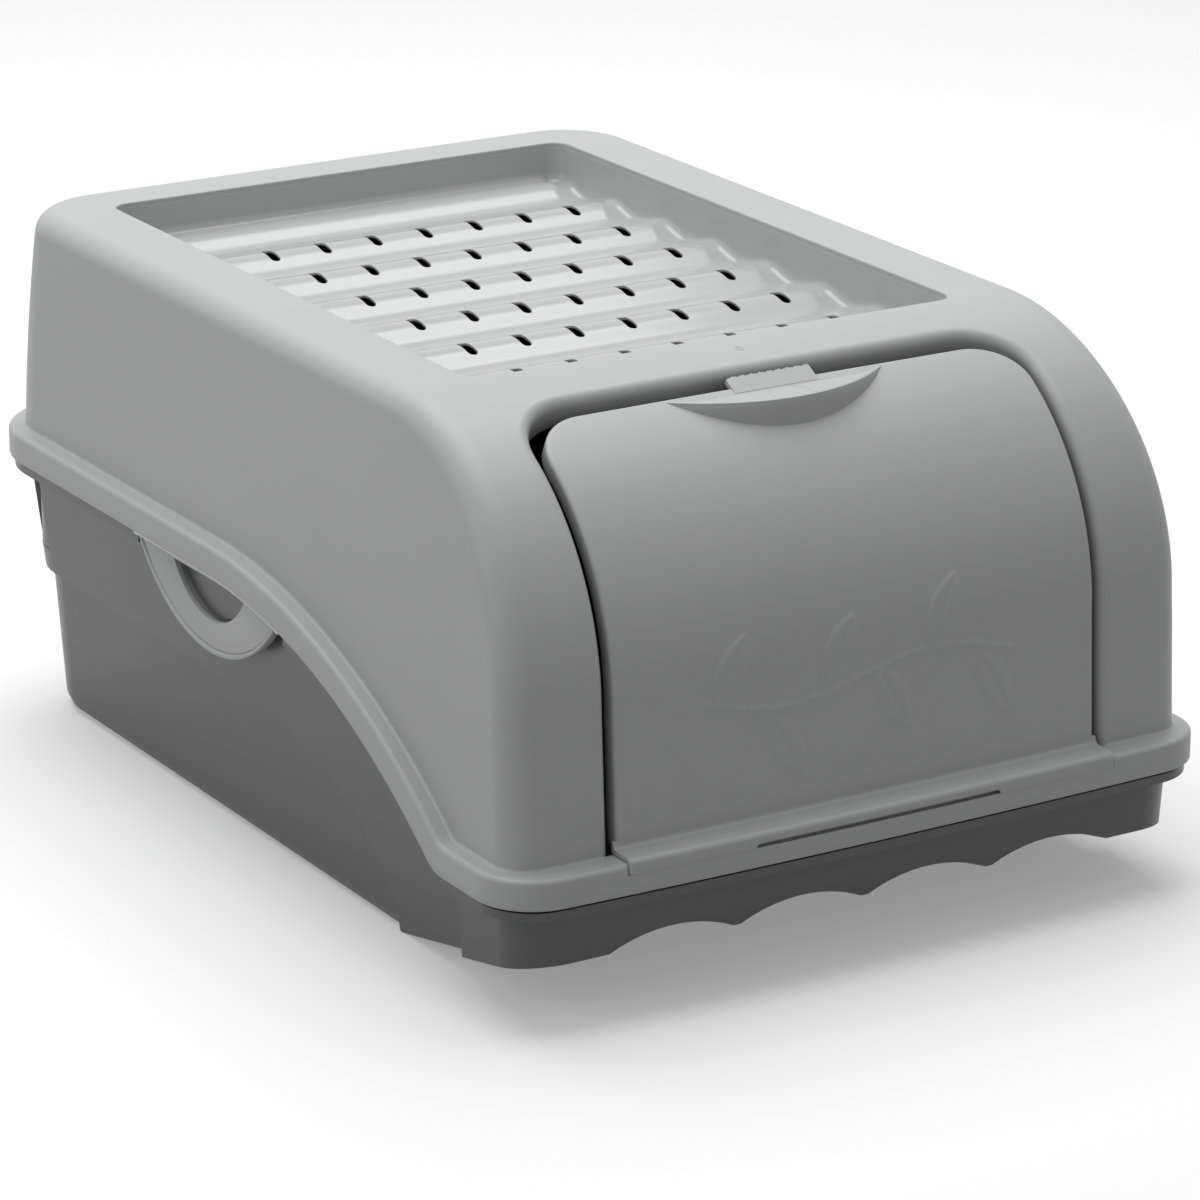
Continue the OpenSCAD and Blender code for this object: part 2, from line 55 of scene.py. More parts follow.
scene = bpy.context.scene
scene.view_settings.view_transform = "Standard"
flat = math.cos(ELEVATION)
back = np.array([math.sin(AZIMUTH) * flat, -math.cos(AZIMUTH) * flat, math.sin(ELEVATION)])
level_right = np.cross(-back, (0, 0, 1))
level_right /= np.linalg.norm(level_right)
level_up = np.cross(level_right, -back)
right = math.cos(ROLL) * level_right + math.sin(ROLL) * level_up
up = math.cos(ROLL) * level_up - math.sin(ROLL) * level_right
camera = bpy.data.objects.new("camera", bpy.data.cameras.new("camera"))
camera.data.lens, camera.data.sensor_width = LENS_MM, SENSOR_MM
camera.data.clip_start, camera.data.clip_end = NEAREST, FARTHEST
camera.matrix_world = Matrix([[right[i], up[i], back[i], CAMERA_AT[i]] for i in range(3)] + [[0, 0, 0, 1]])
scene.collection.objects.link(camera)
scene.camera = camera


def seen_directly(tree):
    """1 where a camera, mirror or glass ray looks, 0 for diffuse light: the largest of the three flags."""
    rays = tree.nodes.new("ShaderNodeLightPath")
    flag = rays.outputs["Is Camera Ray"]
    for kind in ("Is Glossy Ray", "Is Transmission Ray"):
        larger = tree.nodes.new("ShaderNodeMath")
        larger.operation = "MAXIMUM"
        tree.links.new(flag, larger.inputs[0])
        tree.links.new(rays.outputs[kind], larger.inputs[1])
        flag = larger.outputs[0]
    return flag


def split_by_ray(tree, diffuse, direct, end):
    """One shader for diffuse light and another where a ray looks directly, mixed by that flag."""
    mix = tree.nodes.new("ShaderNodeMixShader")
    for socket, source in enumerate((seen_directly(tree), diffuse.outputs[0], direct.outputs[0])):
        tree.links.new(source, mix.inputs[socket])
    tree.links.new(mix.outputs[0], tree.nodes.new(end).inputs[0])


def plain_shader(tree, kind, colour, strength=None):
    """A shader node of one colour and, where it gives off light, one strength."""
    node = tree.nodes.new(kind)
    node.inputs["Color"].default_value = colour
    if strength is not None:
        node.inputs["Strength"].default_value = strength
    return node


world = bpy.data.worlds.new("studio")
scene.world = world
world.use_nodes = True
tree = world.node_tree
tree.nodes.clear()
dim, bright = (plain_shader(tree, "ShaderNodeBackground", WHITE, strength) for strength in (WORLD_LIGHT, 1))
split_by_ray(tree, dim, bright, "ShaderNodeOutputWorld")

bpy.ops.mesh.primitive_plane_add(size=FLOOR_SIZE)
floor = bpy.context.object
floor.name = "floor"
paper = bpy.data.materials.new("studio_paper")
paper.use_nodes = True
tree = paper.node_tree
tree.nodes.clear()
lifted = tree.nodes.new("ShaderNodeAddShader")
tree.links.new(plain_shader(tree, "ShaderNodeBsdfDiffuse", FLOOR_SHOWN).outputs[0], lifted.inputs[0])
tree.links.new(plain_shader(tree, "ShaderNodeEmission", WHITE, FLOOR_LIFT).outputs[0], lifted.inputs[1])
true_floor = plain_shader(tree, "ShaderNodeBsdfDiffuse", FLOOR_TRUE)
split_by_ray(tree, true_floor, lifted, "ShaderNodeOutputMaterial")
floor.data.materials.append(paper)


def lamp(name, size, power, at, towards):
    """A square soft lamp at a point, facing another point."""
    light = bpy.data.lights.new(name, "AREA")
    light.shape, light.size, light.energy = "SQUARE", size, power
    holder = bpy.data.objects.new(name, light)
    scene.collection.objects.link(holder)
    holder.location = at
    away = Vector(at) - Vector(towards)
    holder.rotation_euler = away.to_track_quat("Z", "Y").to_euler()


lamp("overhead_softbox", size=1.8, power=36, at=(0.1, 0.5, 1.9), towards=(0, 0.05, 0.1))
lamp("left_softbox", size=1.2, power=6, at=(-1.9, 0.3, 0.9), towards=(0, 0, 0.1))

# ---------------------------------------------------------------- tub
# The dark lower tub is injection moulded in polypropylene. It has a flange under the hood's rim, side
# bands that sweep down to a kicked-up front, flutes, grooves underneath and two lugs for the latches.
TUB_COLOUR, TUB_ROUGH, TUB_GRAIN, TUB_GRAIN_DEPTH = (0.09, 0.091, 0.093), 0.36, 0.0006, 0.00001
PATCHES, SHEEN_SPREAD = 22, 0.1
MERGE_WITHIN, FLAT_WITHIN, CREASE = 0.00001, math.radians(0.5), math.radians(33)
EDGE_WIDTH, EDGE_STEPS = 0.0005, 2


def plastic(name, colour, rough, grain, depth, drift=0.03):
    """Moulded plastic: a fine cellular grain in its bump and roughness, and a slow drift of its colour."""
    material = bpy.data.materials.new(name)
    material.use_nodes = True
    nodes, links = material.node_tree.nodes, material.node_tree.links
    shader = nodes["Principled BSDF"]
    place = nodes.new("ShaderNodeTexCoord")
    noises = []
    for scale, detail in ((1 / grain, 3), (PATCHES, 4)):
        noise = nodes.new("ShaderNodeTexNoise")
        noise.inputs["Scale"].default_value = scale
        noise.inputs["Detail"].default_value = detail
        links.new(place.outputs["Object"], noise.inputs["Vector"])
        noises.append(noise)
    fine, slow = noises
    bump = nodes.new("ShaderNodeBump")
    bump.inputs["Strength"].default_value = 1
    bump.inputs["Distance"].default_value = depth
    links.new(fine.outputs[0], bump.inputs["Height"])
    links.new(bump.outputs[0], shader.inputs["Normal"])
    tone = nodes.new("ShaderNodeMix")
    tone.data_type = "RGBA"
    tone.inputs["A"].default_value = [c * (1 - drift) for c in colour] + [1]
    tone.inputs["B"].default_value = [min(1, c * (1 + drift)) for c in colour] + [1]
    links.new(slow.outputs[0], tone.inputs["Factor"])
    links.new(tone.outputs["Result"], shader.inputs["Base Color"])
    sheen = nodes.new("ShaderNodeMapRange")
    sheen.inputs["To Min"].default_value = rough * (1 - SHEEN_SPREAD)
    sheen.inputs["To Max"].default_value = rough * (1 + SHEEN_SPREAD)
    links.new(fine.outputs[0], sheen.inputs["Value"])
    links.new(sheen.outputs[0], shader.inputs["Roughness"])
    return material


tub_plastic = plastic("satin_dark_polypropylene", TUB_COLOUR, TUB_ROUGH, TUB_GRAIN, TUB_GRAIN_DEPTH)
form = bmesh.new()
form.from_mesh(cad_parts["base_tub"].data)
bmesh.ops.remove_doubles(form, verts=form.verts, dist=MERGE_WITHIN)
bmesh.ops.dissolve_limit(form, angle_limit=FLAT_WITHIN, verts=form.verts, edges=form.edges)
bmesh.ops.recalc_face_normals(form, faces=form.faces)
tub_mesh = bpy.data.meshes.new("tub_body")
form.to_mesh(tub_mesh)
form.free()
tub_mesh.polygons.foreach_set("use_smooth", np.ones(len(tub_mesh.polygons), bool))
tub_mesh.set_sharp_from_angle(angle=CREASE)
tub = bpy.data.objects.new("tub_body", tub_mesh)
scene.collection.objects.link(tub)
soft_edge = tub.modifiers.new("soft_edge", "BEVEL")
soft_edge.width, soft_edge.segments = EDGE_WIDTH, EDGE_STEPS
soft_edge.limit_method, soft_edge.angle_limit = "ANGLE", CREASE
even = tub.modifiers.new("flat_faces", "WEIGHTED_NORMAL")
even.keep_sharp, even.weight = True, 100
tub.data.materials.append(tub_plastic)
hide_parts("base_tub")
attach(tub, "tub")

# ---------------------------------------------------------------- hood shell
# The grey hood is one moulding with a rolled opening for the flap and a sharp-edged recess for the
# vent insert. Its front sweeps up into the flat top, and its side walls lean in towards the top edge. Shapes
# that are worked out here and below are in millimetres.
HOOD_HALF, HOOD_FRONT, HOOD_BACK, HOOD_TOP = 138.4, -196.0, 202.95, 197.5
FRONT_CORNER, BACK_CORNER = 12, 35
LEAN_FROM, LEAN_CURVE, LEAN_DRAFT, BACK_DRAFT = 92, 0.000768, 0.004, 0.026
BROW_Y, BROW_Z, BROW_R = -102.15, 106.0, 91.5
EDGE_TOP, EDGE_FRONT = 8.0, 12.0
FOOT_Z, FACE_LEAN = 55.5, 2.4
BOW, BOW_HALF = 0.8, 126
WALL, SKIRT_H = 2.2, 11.0
ROLL_R, ROLL_INNER, ROLL_DEPTH = 4.0, 1.8, 10.0
VENT_HALF, VENT_FRONT, VENT_BACK, VENT_R, VENT_EDGE = 99.8, -102.35, 174.05, 7.0, 0.6
RIM_BACK_Z, RIM_FRONT_Z = 103.5, 44.5
ARC_Y, ARC_Z, ARC_R = 13.3, -161.5, 265
TOE_Y, TOE_Z, TOE_R = -158.97, 60.5, 16
ARC_END = 0.61306
FLAP_SINK, FLAP_TOP_Y, FLAP_TILT = 0.6, -136.55, math.radians(28.24)
FLAP_TOP_Z = BROW_Z + math.sqrt((BROW_R - FLAP_SINK) ** 2 - (FLAP_TOP_Y - BROW_Y) ** 2)
HOOD_COLOUR, HOOD_ROUGH, HOOD_GRAIN, HOOD_GRAIN_DEPTH = (0.44, 0.442, 0.445), 0.48, 0.0011, 0.00005
COUNTS = (36, 12, 120, 52)
STEPS = 72
LONGEST_RAY, HALVINGS = 400.0, 40
LEAST_SLOPE, LEAST_CUT_SLOPE, TINY = 0.2, 0.05, 1e-9
SLIDES, WELD_SHARE = 8, 0.35
quarter = np.radians(np.arange(0, 91, 15))


def lean(z):
    """How far a side wall has leant in at height z: a straight draft plus a square law above 92 mm."""
    return LEAN_CURVE * np.maximum(z - LEAN_FROM, 0) ** 2 + LEAN_DRAFT * (z - LEAN_FROM)


def bow(x):
    """How far the front stands forward of its mean line: a shallow parabola across the width."""
    return BOW * (1 - 2 * np.minimum(np.abs(x) / BOW_HALF, 1) ** 2)


def front_view(x, y, z):
    """Signed distance from the side profile: a leaning face, then a circular sweep, then the flat top."""
    y = y + bow(x)
    rise = BROW_Z - FOOT_Z
    length = math.hypot(rise, FACE_LEAN)
    face = (y - BROW_Y + BROW_R) * -rise / length + (z - BROW_Z) * FACE_LEAN / length
    sweep = np.hypot(y - BROW_Y, z - BROW_Z) - BROW_R
    return np.where(z < BROW_Z, face, np.where(y > BROW_Y, z - HOOD_TOP, sweep))


def corner_distance(qx, qy):
    """Signed distance from a quarter plane: depth to the nearer side inside, a round corner outside."""
    return np.hypot(np.maximum(qx, 0), np.maximum(qy, 0)) + np.minimum(np.maximum(qx, qy), 0)


def hood_distance(p):
    """Signed distance from the hood's outside: walls in plan, met by the side profile over a round edge."""
    x, y, z = p.T
    half, rear = HOOD_HALF - lean(z), HOOD_BACK - BACK_DRAFT * (z - LEAN_FROM)
    corner = BACK_CORNER - lean(z) / 2
    plan = corner_distance(np.abs(x) - half + corner, y - rear + corner) - corner
    profile = front_view(x, y, z)
    turn = np.clip(np.degrees(np.arctan2(z - BROW_Z, BROW_Y - y)), 0, 90)
    edge = np.where(y > BROW_Y, EDGE_TOP, EDGE_FRONT - (EDGE_FRONT - EDGE_TOP) * turn / 90)
    round_part = np.hypot(np.maximum(plan + edge, 0), np.maximum(profile + edge, 0))
    return np.minimum(np.maximum(plan, profile), -edge) + round_part


def slope(field, p):
    """Gradient of a field by central differences of a hundredth of a millimetre."""
    h = 0.01
    return np.stack([(field(p + h * e) - field(p - h * e)) / (2 * h) for e in np.eye(3)], 1)


def unit(v):
    """Vectors brought to a length of one: each is divided by its own length."""
    return v / np.maximum(np.linalg.norm(v, axis=-1, keepdims=True), TINY)


def settle(field, p, steps=9):
    """Moves points along the field's gradient until they lie on its zero surface, and gives their normals."""
    for _ in range(steps):
        g = slope(field, p)
        p = p - (field(p) / np.maximum((g * g).sum(1), LEAST_SLOPE))[:, None] * g
    return p, unit(slope(field, p))


def lattice(n, m, wrap_u=False, wrap_v=False):
    """Quads of an n by m grid of points, closed on itself in either direction if asked."""
    i, j = np.arange(n if wrap_u else n - 1), np.arange(m if wrap_v else m - 1)
    i, j = np.meshgrid(i, j, indexing="ij")
    i2, j2 = (i + 1) % n, (j + 1) % m
    return np.stack([i * m + j, i2 * m + j, i2 * m + j2, i * m + j2], -1).reshape(-1, 4)


def edges_of(tris):
    """The edges of triangles as pairs of points: first to second, second to third and third to first."""
    return np.concatenate([tris[:, [0, 1]], tris[:, [1, 2]], tris[:, [2, 0]]])


def make_piece(name, points, faces, normals=None, crease=None):
    """A mesh object from points in millimetres and face arrays, turned outwards if its volume is negative."""
    mesh = bpy.data.meshes.new(name)
    tris = np.concatenate([f[:, [0, i, i + 1]] for f in faces for i in range(1, f.shape[1] - 1)])
    a, b, c = (points[tris[:, i]] for i in range(3))
    if (a * np.cross(b, c)).sum() < 0:
        faces = [f[:, ::-1] for f in faces]
    loops = np.concatenate([f.ravel() for f in faces]).astype(np.int32)
    sizes = np.concatenate([np.full(len(f), f.shape[1]) for f in faces])
    starts = np.concatenate([[0], np.cumsum(sizes)[:-1]]).astype(np.int32)
    mesh.vertices.add(len(points))
    mesh.vertices.foreach_set("co", (points / 1000).astype(np.float32).ravel())
    mesh.loops.add(len(loops))
    mesh.loops.foreach_set("vertex_index", loops)
    mesh.polygons.add(len(sizes))
    mesh.polygons.foreach_set("loop_start", starts)
    mesh.update(calc_edges=True)
    mesh.validate()
    mesh.polygons.foreach_set("use_smooth", np.ones(len(mesh.polygons), bool))
    if normals is not None:
        mesh.normals_split_custom_set_from_vertices(normals.tolist())
    elif crease:
        mesh.set_sharp_from_angle(angle=math.radians(crease))
    piece = bpy.data.objects.new(name, mesh)
    scene.collection.objects.link(piece)
    return piece


def cut_along(field, cut, p, tris):
    """Trims a sheet on one field along the zero line of another: a crossed edge's nearer end slides onto it.

    So the edge of the opening is smooth. Edges on the line that came out very short become one point.
    """
    d = cut(p)
    spacing = np.median(np.linalg.norm(p[tris[:, 0]] - p[tris[:, 1]], axis=1))
    a, b = edges_of(tris).T
    move = np.unique(np.where(np.abs(d[a]) < np.abs(d[b]), a, b)[d[a] * d[b] < 0])
    for _ in range(SLIDES):
        q, normal = settle(field, p[move], 2)
        g = slope(cut, q)
        g -= (g * normal).sum(1)[:, None] * normal
        p[move] = q - (cut(q) / np.maximum((g * g).sum(1), LEAST_CUT_SLOPE))[:, None] * g
    p[move], _ = settle(field, p[move], 3)
    d[move] = 0
    tris = tris[(d[tris].max(1) <= 0) & (d[tris].min(1) < 0)]
    a, b = edges_of(tris).T
    short = (d[a] == 0) & (d[b] == 0) & (np.linalg.norm(p[a] - p[b], axis=1) < WELD_SHARE * spacing)
    weld = np.arange(len(p))
    weld[np.maximum(a, b)[short]] = np.minimum(a, b)[short]
    tris = weld[weld][tris]
    return p, tris[(tris != np.roll(tris, 1, axis=1)).all(1)]


def moulded_wall(field, guess, wrap, cut, thick, hem, other_hem=None, where_other=None):
    """A wall of even thickness: points settled on a field, cut along the zero line of another, and hemmed.

    The hem is a profile of steps outwards and inwards, carried along every free edge from the outside to the
    inside. Another hem with as many steps takes its place where the last function is true.
    """
    p, _ = settle(field, guess.reshape(-1, 3))
    quads = lattice(*guess.shape[:2], wrap)
    p, tris = cut_along(field, cut, p, np.concatenate([quads[:, [0, 1, 2]], quads[:, [0, 2, 3]]]))
    used, tris = np.unique(tris, return_inverse=True)
    tris = tris.reshape(-1, 3)
    p, normal = settle(field, p[used], 2)
    a, b, c = (p[tris[:, i]] for i in range(3))
    if (np.cross(b - a, c - a) * normal[tris[:, 0]]).sum() < 0:
        tris = tris[:, ::-1]
    count = len(p)
    # an edge is free where no triangle holds it the other way round
    edges = edges_of(tris)
    key, back_key = edges[:, 0] * count + edges[:, 1], edges[:, 1] * count + edges[:, 0]
    free = edges[~np.isin(key, back_key)]
    # at each point of a free edge, the direction that leads out of the sheet
    along = unit(p[free[:, 1]] - p[free[:, 0]])
    out = np.zeros_like(p)
    for end in (0, 1):
        np.add.at(out, free[:, end], np.cross(along, normal[free[:, end]]))
    rim = np.unique(free)
    out = unit(out[rim])
    hem = np.repeat(np.array(hem, float)[None], len(rim), 0)
    if other_hem is not None:
        hem = np.where(where_other(p[rim])[:, None, None], np.array(other_hem, float)[None], hem)
    # one ring of points for each step of the hem, from the outer sheet to the inner one
    turn = unit(np.gradient(hem, axis=1))
    points, normals = [p, p - thick * normal], [normal, -normal]
    for k in range(1, hem.shape[1] - 1):
        points.append(p[rim] + hem[:, k, :1] * out - hem[:, k, 1:] * normal[rim])
        normals.append(turn[:, k, 1:] * out + turn[:, k, :1] * normal[rim])
    place = np.zeros(count, int)
    place[rim] = np.arange(len(rim))
    between = [2 * count + k * len(rim) + place[free] for k in range(hem.shape[1] - 2)]
    rings = [free, *between, free + count]
    strips = [np.column_stack([near[:, ::-1], far]) for near, far in zip(rings, rings[1:])]
    faces = [tris, tris[:, ::-1] + count, np.concatenate(strips)]
    return np.concatenate(points), faces, np.concatenate(normals)


def round_outline(counts, half, front, rear, front_r, rear_r, bow_r=None):
    """Points round a rectangle with round corners, from the back's middle over the left side to the front.

    Each side and corner holds the same number of points on every outline, so that outlines match up. A bowed
    front is an arc of a large circle between the front corners. The right half mirrors the left one. Gives
    points and outward normals in plan.
    """
    n_back, n_corner, n_side, n_front = counts
    back, corner, side, face = (np.arange(n) / n for n in counts)
    skew = 0 if bow_r is None else math.asin((half - front_r) / (bow_r - front_r))
    rear_y, front_y = rear - rear_r, front + front_r
    radius = np.repeat([rear_r, front_r], [n_back + n_corner, n_side + n_corner + n_front])
    x = -(half - radius) * np.concatenate([back, np.ones(2 * n_corner + n_side), 1 - face])
    side_y = rear_y * (1 - side) + front_y * side
    y = np.concatenate([np.full(n_back + n_corner, rear_y), side_y, np.full(n_corner + n_front, front_y)])
    turns = [np.full(n_back, 90), 90 + 90 * corner, np.full(n_side, 180)]
    turns += [180 + (90 - math.degrees(skew)) * corner, 270 - math.degrees(skew) * (1 - face)]
    turn = np.radians(np.concatenate(turns))
    normal = np.stack([np.cos(turn), np.sin(turn)], 1)
    points = np.stack([x, y], 1) + radius[:, None] * normal
    middle_y = points[-1, 1]
    if bow_r is not None:
        turn = skew * (1 - face)
        centre_y = front_y + (bow_r - front_r) * math.cos(skew)
        normal[-n_front:] = -np.stack([np.sin(turn), np.cos(turn)], 1)
        points[-n_front:] = np.array([0, centre_y]) + bow_r * normal[-n_front:]
        middle_y = centre_y - bow_r
    mirror = np.array([-1.0, 1.0])
    points = np.concatenate([points, [[0.0, middle_y]], points[:0:-1] * mirror])
    return points, np.concatenate([normal, [[0.0, -1.0]], normal[:0:-1] * mirror])


def rim_edge(y, d=0.0):
    """Height of the rim's lower edge moved up by d: level, a large arc, a small toe, and level in front."""
    arc, toe = ARC_R + d, TOE_R - d
    z = np.where(y >= ARC_Y, RIM_BACK_Z + d, ARC_Z + np.sqrt(np.maximum(arc**2 - (y - ARC_Y) ** 2, 0)))
    z = np.where(y < ARC_Y - ARC_END * arc, TOE_Z - np.sqrt(np.maximum(toe**2 - (y - TOE_Y) ** 2, 0)), z)
    return np.where(y < TOE_Y, RIM_FRONT_Z + d, z)


def flap_opening(p, half=101.0, top=8.2, r=23.0):
    """Signed distance inside the flap's opening: a round-cornered outline, square to the flap's top edge."""
    x = np.abs(p[:, 0])
    v = (p[:, 1] - FLAP_TOP_Y) * math.cos(FLAP_TILT) + (p[:, 2] - FLAP_TOP_Z) * math.sin(FLAP_TILT)
    return -(corner_distance(x - half + r, v - top + r) - r)


def hood_cut(p):
    """Zero where the opening's edge starts to roll: distance inside the opening plus the roll's radius."""
    return flap_opening(p) + ROLL_R


def off_the_roll(p):
    """True on an edge that isn't the opening's: over half a millimetre from where the roll starts."""
    return np.abs(hood_cut(p)) > 0.5


def reach(field, start, towards):
    """Where rays from a point inside leave a field's zero surface, found by halving their length."""
    near, far = np.zeros(len(towards)), np.full(len(towards), LONGEST_RAY)
    for _ in range(HALVINGS):
        middle = (near + far) / 2
        inside = field(start + middle[:, None] * towards) < 0
        near, far = np.where(inside, middle, near), np.where(inside, far, middle)
    return start + near[:, None] * towards


def sweep_rays(first, last, steps):
    """Unit directions turning evenly from first to last: both weighted by sines of shares of the angle."""
    first, last = unit(first), unit(last)
    angle = np.arccos(np.clip((first * last).sum(1), -1, 1))[:, None, None]
    share = np.linspace(0, 1, steps)[None, :, None]
    both = np.sin((1 - share) * angle) * first[:, None] + np.sin(share * angle) * last[:, None]
    return both / np.sin(angle)


def quarter_arc(radius, centre_depth):
    """Steps of a hem round a quarter circle: outwards by its sine, inwards by its centre less its cosine."""
    return [(radius * math.sin(a), centre_depth - radius * math.cos(a)) for a in quarter]


hood_plastic = plastic("matte_grey_polypropylene", HOOD_COLOUR, HOOD_ROUGH, HOOD_GRAIN, HOOD_GRAIN_DEPTH)
# rays from a point inside the bin turn from the wall's foot up to the edge of the recess
centre = np.array([0.0, 10.0, 70.0])
foot, _ = round_outline(COUNTS, HOOD_HALF, HOOD_FRONT, HOOD_BACK, FRONT_CORNER, BACK_CORNER)
lip, _ = round_outline(COUNTS, VENT_HALF + VENT_EDGE, VENT_FRONT - VENT_EDGE, VENT_BACK + VENT_EDGE,
                       VENT_R + VENT_EDGE, VENT_R + VENT_EDGE)
low = np.column_stack([foot, rim_edge(foot[:, 1], SKIRT_H - WALL)])
high = np.column_stack([lip, np.full(len(lip), HOOD_TOP)])
rays = sweep_rays(low - centre, high - centre, STEPS)
guess = reach(hood_distance, centre, rays.reshape(-1, 3)).reshape(rays.shape)
# hems: how far out from the cut and how far in from the surface
rolled = quarter_arc(ROLL_R, ROLL_R) + [(ROLL_R, ROLL_DEPTH), (ROLL_INNER, ROLL_DEPTH)]
rolled += quarter_arc(ROLL_INNER, ROLL_R)[::-1]
crisp = quarter_arc(VENT_EDGE, VENT_EDGE) + [(VENT_EDGE, 1.2), (VENT_EDGE, 1.8)]
crisp += [(VENT_EDGE * math.sin(a), WALL) for a in quarter[::-1]]
shell = moulded_wall(hood_distance, guess, True, hood_cut, WALL, rolled, crisp, off_the_roll)
hood = make_piece("hood_shell", *shell)
hood.data.materials.append(hood_plastic)
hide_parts("hood")
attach(hood, "hood")

# ---------------------------------------------------------------- hood rim
# The same moulding runs out into a narrow shelf and a skirt that hangs over the tub's flange. The skirt's
# top edge is rounded, a small fillet joins the shelf to the wall, and a rebate in front takes the flap's lip.
RIM_HALF, RIM_FRONT, RIM_BACK, RIM_FRONT_R, RIM_BACK_R = 145.0, -204.65, 207.75, 22, 41
BOW_R, BOW_Y = 3312.06, 3105.11
SKIRT_T, SKIRT_ROUND, SHELF_FILLET, UNDER_WALL = 2.6, 1.8, 1.2, 1.1
REBATE, REBATE_FROM, REBATE_HALF, OPENING_HALF = 2.2, 7.2, 99.7, 101.5
FRONT_FROM = -190

outer, outward = round_outline(COUNTS, RIM_HALF, RIM_FRONT, RIM_BACK, RIM_FRONT_R, RIM_BACK_R, BOW_R)
wall_foot = np.column_stack([foot, rim_edge(foot[:, 1], SKIRT_H)])
for _ in range(5):
    wall_foot, _ = settle(hood_distance, wall_foot, 1)
    wall_foot[:, 2] = rim_edge(wall_foot[:, 1], SKIRT_H)
skirt_inside = outer - SKIRT_T * outward
shelf_run = wall_foot[:, :2] - skirt_inside
shelf_width = np.hypot(*shelf_run.T)
in_rebate = (outer[:, 1] < FRONT_FROM) & (np.abs(outer[:, 0]) < REBATE_HALF)
in_opening = (outer[:, 1] < FRONT_FROM) & (np.abs(outer[:, 0]) < OPENING_HALF)


def skirt_row(inset, height):
    """A row of points in from the skirt's face, at a height over its lower edge, set back in the rebate."""
    inset = np.where(in_rebate & (height > REBATE_FROM) & (inset < REBATE), REBATE, inset)
    plan = outer - inset[:, None] * outward
    return np.column_stack([plan, rim_edge(plan[:, 1], height)])


def shelf_row(before_wall, height):
    """A row of points on the shelf at a distance before the wall's face, level through the flap's opening."""
    share = 1 - before_wall / shelf_width
    plan = skirt_inside + share[:, None] * shelf_run
    height = np.where(in_opening, np.minimum(height, SKIRT_H), height)
    return np.column_stack([plan, rim_edge(plan[:, 1], height)])


# how far in from the skirt's face or before the wall, and how high over the skirt's lower edge
face_steps = [(0.5, 0.0), (0.15, 0.15), (0.0, 0.5), (0.0, 4.0), (0.0, REBATE_FROM), (0.0, REBATE_FROM + 0.05)]
face_steps += [(SKIRT_ROUND * (1 - math.cos(a)), SKIRT_H - SKIRT_ROUND * (1 - math.sin(a))) for a in quarter]
shelf_top = SKIRT_H + SHELF_FILLET
shelf_steps = [(SHELF_FILLET * (1 - math.sin(a)), SKIRT_H + SHELF_FILLET * (1 - math.cos(a)))
               for a in quarter]
shelf_steps += [(-UNDER_WALL, shelf_top), (-UNDER_WALL, SKIRT_H - WALL)]
inner_steps = [(SKIRT_T + 0.8, SKIRT_H - WALL), (SKIRT_T, SKIRT_H - 3.0)]
inner_steps += [(SKIRT_T, 0.5), (SKIRT_T - 0.4, 0.0)]
rows = [skirt_row(*step) for step in face_steps] + [shelf_row(*step) for step in shelf_steps]
grid = np.stack(rows + [skirt_row(*step) for step in inner_steps], 1)
rim = make_piece("hood_rim", grid.reshape(-1, 3), [lattice(*grid.shape[:2], True, True)], crease=40)
rim.data.materials.append(hood_plastic)
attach(rim, "hood")

# ---------------------------------------------------------------- vent insert
# The polished bottom of the recess is a corrugated floor with drafted walls and six rows of vent slots. The
# slots sit just in front of the crests, and a cove runs round the foot of the walls.
TRAY_T, TRAY_TOP, TRAY_DRAFT, COVE = 1.0, 195.25, 0.052, 3.5
CREST, GROOVE, PITCH, CREST_Y = 183.0, 178.3, 37.6, 167.25
RIDGE_END, RIDGE_FALL, RIDGE_TAPER, RIDGE_SLOPE = 90.5, 1.5, 3.5, 4.5
HOLE_X = np.array([-77.5, -55.4, -33.2, -11.075, 11.075, 33.2, 55.4, 77.5])
HOLE_Y = 127.65 - PITCH * np.arange(6)
HOLE_W, HOLE_L = 4.2, 11.8
RECESS_Y, RECESS_LONG = (VENT_FRONT + VENT_BACK) / 2, (VENT_BACK - VENT_FRONT) / 2
CLIMB, CLIMB_STEEP, INNERMOST = 9.0, 2, 0.4
VENT_COLOUR, VENT_ROUGH, VENT_DRIFT = (0.45, 0.452, 0.455), 0.16, 0.02
VENT_GRAIN, VENT_GRAIN_DEPTH = 0.004, 0.000004


def recess_floor(x, y):
    """Height of the corrugated floor: a cosine wave from groove to crest, whose crests dip at their ends."""
    wave = 0.5 + 0.5 * np.cos(2 * math.pi * (y - CREST_Y) / PITCH)
    past = np.clip((np.abs(x) - RIDGE_END + RIDGE_TAPER * (1 - wave)) / RIDGE_SLOPE, 0, 1)
    return GROOVE + (CREST - GROOVE) * wave - RIDGE_FALL * wave * past**2 * (3 - 2 * past)


def tray_surface(p):
    """Signed distance over the tray: the drafted round-cornered plan and the floor, joined by a cove."""
    x, y, z = p.T
    draft = TRAY_DRAFT * (HOOD_TOP - z)
    qx = np.abs(x) - (VENT_HALF - draft - VENT_R)
    qy = np.abs(y - RECESS_Y) - (RECESS_LONG - draft - VENT_R)
    plan = corner_distance(qx, qy) - VENT_R
    floor_gap = recess_floor(x, y) - z
    meet = np.minimum(np.maximum(plan, floor_gap), -COVE)
    return -(meet + np.hypot(np.maximum(plan + COVE, 0), np.maximum(floor_gap + COVE, 0)))


